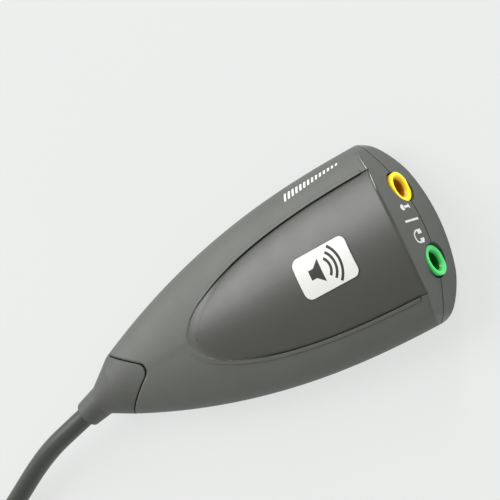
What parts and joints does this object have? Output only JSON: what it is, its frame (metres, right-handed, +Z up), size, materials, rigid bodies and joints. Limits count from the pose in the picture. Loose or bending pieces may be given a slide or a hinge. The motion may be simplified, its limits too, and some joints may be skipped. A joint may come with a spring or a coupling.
{
  "type": "usb sound card",
  "caption": "Tapered two-shell audio adapter with a crowned top panel, two round audio jacks in its bowed end, and a short moulded lead to a flat rectangular plug.",
  "frame": {"origin": "under the middle of the housing and its grommet, on the surface that the housing rests on", "axes": "+X out of the jack end, +Y to the microphone jack's side, +Z up"},
  "size_m": [0.2386, 0.0395, 0.0151],
  "materials": {
    "housing_plastic": "fine matte moulded ABS, dark grey",
    "label_print": "smooth white label film",
    "grommet_rubber": "soft matte moulded PVC, dark grey",
    "cord_jacket": "smooth matte PVC jacket, dark grey",
    "jack_yellow": "moulded plastic, amber yellow",
    "jack_green": "moulded plastic, light green",
    "board_green": "solder-masked board",
    "chip_black": "matte moulded epoxy",
    "tinned_metal": "tinned springy strip",
    "crystal_can": "drawn metal can",
    "capacitor_can": "drawn aluminium can",
    "ceramic_chip": "fired ceramic chip",
    "resistor_chip": "dark glazed chip",
    "wire_red": "thin PVC insulation",
    "wire_white": "thin PVC insulation",
    "wire_green": "thin PVC insulation",
    "wire_black": "thin PVC insulation",
    "plug_moulding": "matte moulded PVC, dark grey",
    "plug_steel": "plated folded sheet",
    "insulator_plastic": "white moulded insulator",
    "contact_gold": "gold-flashed strip"
  },
  "bodies": {
    "root": {"top_shell": "housing_plastic", "bottom_shell": "housing_plastic", "label": "label_print", "cable_grommet": "grommet_rubber", "usb_cord": "cord_jacket", "circuit_board": "board_green", "microphone_jack": "jack_yellow", "headphone_jack": "jack_green", "codec_chip": "chip_black", "codec_leads": "tinned_metal", "crystal": "crystal_can", "electrolytic_capacitors": "capacitor_can", "ceramic_capacitors": "ceramic_chip", "resistors": "resistor_chip", "wire_red": "wire_red", "wire_white": "wire_white", "wire_green": "wire_green", "wire_black": "wire_black", "plug_overmould": "plug_moulding", "plug_shell": "plug_steel", "plug_insulator": "insulator_plastic", "plug_contacts": "contact_gold", "microphone_sleeve_contact": "tinned_metal", "microphone_ring_contact": "tinned_metal", "microphone_tip_contact": "tinned_metal", "headphone_sleeve_contact": "tinned_metal", "headphone_ring_contact": "tinned_metal", "headphone_tip_contact": "tinned_metal"}
  },
  "joints": []
}
